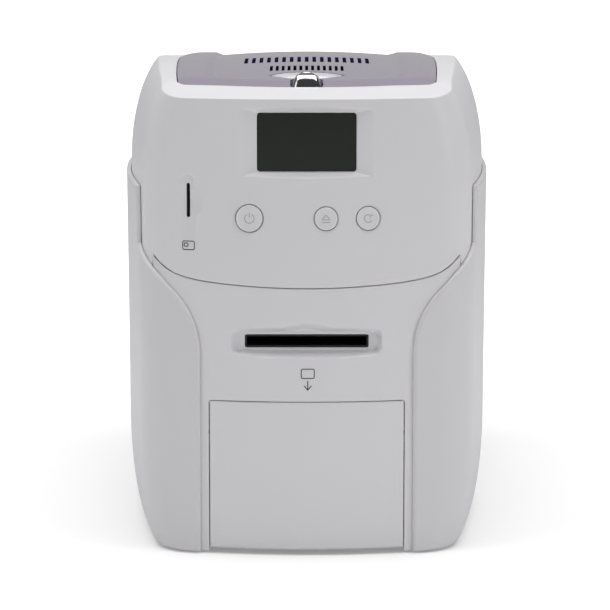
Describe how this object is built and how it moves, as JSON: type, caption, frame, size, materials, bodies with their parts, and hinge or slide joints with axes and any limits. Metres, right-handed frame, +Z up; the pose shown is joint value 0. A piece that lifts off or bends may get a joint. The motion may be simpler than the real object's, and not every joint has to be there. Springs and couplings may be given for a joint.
{
  "type": "id card printer",
  "caption": "Desktop card printer with proud side covers, a tinted top lid hinged at the back, a display, keys, a card slot and a drop-down bin door.",
  "frame": {"origin": "middle of the footprint on the table", "axes": "+Z up, -Y towards the card slot in the front, +X to the right seen from the front"},
  "size_m": [0.192, 0.3274, 0.241],
  "materials": {
    "shell_white": "semi-gloss moulded",
    "cover_white": "semi-gloss moulded",
    "rear_grey": "fine grained",
    "lid_tint": "tinted, polished",
    "bright_chrome": "polished",
    "insert_white": "polished",
    "black_plastic": "fine grained",
    "dark_grey_plastic": "fine grained",
    "mid_grey_plastic": "moulded",
    "lcd_glass": "polished",
    "board_green": "solder mask",
    "steel": "zinc plated",
    "bush_bronze": "sintered",
    "rubber_black": "ground",
    "alloy": "extruded",
    "film_violet": "dyed film"
  },
  "bodies": {
    "housing": {"upper_housing": "shell_white", "lower_front_panel": "shell_white", "left_side_cover": "cover_white", "right_side_cover": "cover_white", "rear_panel": "rear_grey", "base_tray": "rear_grey", "rubber_feet": "rubber_black", "housing_screws": "steel", "hinge_brackets": "dark_grey_plastic", "latch_bezel": "insert_white", "button_spring": "steel", "lcd_window": "lcd_glass", "lcd_module": "dark_grey_plastic", "front_board": "board_green", "key_switches": "black_plastic", "chip_reader": "black_plastic", "card_throat": "black_plastic", "card_bin": "mid_grey_plastic", "left_chassis_plate": "steel", "right_chassis_plate": "steel", "cross_rods": "steel", "shaft_bushes": "bush_bronze", "drive_motor": "dark_grey_plastic", "drive_belt": "rubber_black", "ribbon_film": "film_violet", "ribbon_cassette": "mid_grey_plastic", "main_board": "board_green", "io_board": "black_plastic", "fan_frame": "black_plastic"},
    "lid": {"top_lid": "lid_tint", "lid_hinge_bar": "lid_tint", "lid_catches": "dark_grey_plastic", "hinge_pins": "steel"},
    "release": {"release_button": "bright_chrome"},
    "power": {"power_key": "shell_white"},
    "eject": {"eject_key": "shell_white"},
    "ribbon_set": {"ribbon_key": "shell_white"},
    "door": {"bin_door": "shell_white", "door_pins": "steel"},
    "feed": {"feed_roller": "rubber_black", "feed_pulley": "dark_grey_plastic"},
    "platen": {"platen_roller": "rubber_black", "platen_pulley": "dark_grey_plastic"},
    "exit": {"exit_roller": "rubber_black", "exit_pulley": "dark_grey_plastic"},
    "front_pinch": {"front_pinch_roller": "rubber_black"},
    "rear_pinch": {"rear_pinch_roller": "rubber_black"},
    "motor": {"motor_pulley": "alloy"},
    "head": {"head_arm": "alloy", "print_head": "alloy"},
    "supply": {"supply_spool": "film_violet"},
    "takeup": {"takeup_spool": "film_violet"},
    "rocker": {"power_rocker": "black_plastic"},
    "fan": {"fan_rotor": "dark_grey_plastic"}
  },
  "joints": [
    {"name": "lid_hinge", "type": "hinge", "parent": "housing", "child": "lid", "pos_m": [0, 0.0971, 0.22728], "axis": [-1, 0, 0], "range_deg": [0, 95]},
    {"name": "release_press", "type": "slide", "parent": "housing", "child": "release", "axis": [0, 0, -1], "range_m": [0, 0.0025], "stiffness_N_per_m": 600, "springref_m": -0.001, "deforming": ["button_spring"]},
    {"name": "power_press", "type": "slide", "parent": "housing", "child": "power", "axis": [0, 1, 0], "range_m": [0, 0.0008], "stiffness_N_per_m": 900},
    {"name": "eject_press", "type": "slide", "parent": "housing", "child": "eject", "axis": [0, 1, 0], "range_m": [0, 0.0008], "stiffness_N_per_m": 900},
    {"name": "ribbon_set_press", "type": "slide", "parent": "housing", "child": "ribbon_set", "axis": [0, 1, 0], "range_m": [0, 0.0008], "stiffness_N_per_m": 900},
    {"name": "door_hinge", "type": "hinge", "parent": "housing", "child": "door", "pos_m": [0, -0.157, 0.0084], "axis": [1, 0, 0], "range_deg": [0, 80]},
    {"name": "motor_spin", "type": "hinge", "parent": "housing", "child": "motor", "pos_m": [0, 0.02, 0.0502], "axis": [1, 0, 0], "continuous": true},
    {"name": "feed_spin", "type": "hinge", "parent": "housing", "child": "feed", "pos_m": [0, -0.126, 0.1003], "axis": [1, 0, 0], "continuous": true},
    {"name": "platen_spin", "type": "hinge", "parent": "housing", "child": "platen", "pos_m": [0, -0.03, 0.1003], "axis": [1, 0, 0], "continuous": true},
    {"name": "exit_spin", "type": "hinge", "parent": "housing", "child": "exit", "pos_m": [0, 0.06, 0.1003], "axis": [1, 0, 0], "continuous": true},
    {"name": "front_pinch_spin", "type": "hinge", "parent": "housing", "child": "front_pinch", "pos_m": [0, -0.126, 0.1116], "axis": [1, 0, 0], "continuous": true},
    {"name": "rear_pinch_spin", "type": "hinge", "parent": "housing", "child": "rear_pinch", "pos_m": [0, 0.06, 0.1116], "axis": [1, 0, 0], "continuous": true},
    {"name": "head_lift", "type": "hinge", "parent": "housing", "child": "head", "pos_m": [0, 0.048, 0.151], "axis": [-1, 0, 0], "range_deg": [0, 12]},
    {"name": "supply_spin", "type": "hinge", "parent": "housing", "child": "supply", "pos_m": [0, 0.036, 0.173], "axis": [1, 0, 0], "continuous": true},
    {"name": "takeup_spin", "type": "hinge", "parent": "housing", "child": "takeup", "pos_m": [0, -0.086, 0.173], "axis": [1, 0, 0], "continuous": true},
    {"name": "rocker_tilt", "type": "hinge", "parent": "housing", "child": "rocker", "pos_m": [-0.04125, 0.1565, 0.03225], "axis": [-1, 0, 0], "range_deg": [0, 16]},
    {"name": "fan_spin", "type": "hinge", "parent": "housing", "child": "fan", "pos_m": [-0.033, 0.152, 0.12], "axis": [0, 1, 0], "continuous": true}
  ],
  "couplings": [
    {"joint": "feed_spin", "follows": "motor_spin", "ratio": 0.66667},
    {"joint": "platen_spin", "follows": "motor_spin", "ratio": 0.66667},
    {"joint": "exit_spin", "follows": "motor_spin", "ratio": 0.66667},
    {"joint": "front_pinch_spin", "follows": "motor_spin", "ratio": -0.88889},
    {"joint": "rear_pinch_spin", "follows": "motor_spin", "ratio": -0.88889},
    {"joint": "supply_spin", "follows": "motor_spin", "ratio": 0.3},
    {"joint": "takeup_spin", "follows": "motor_spin", "ratio": 0.4}
  ]
}
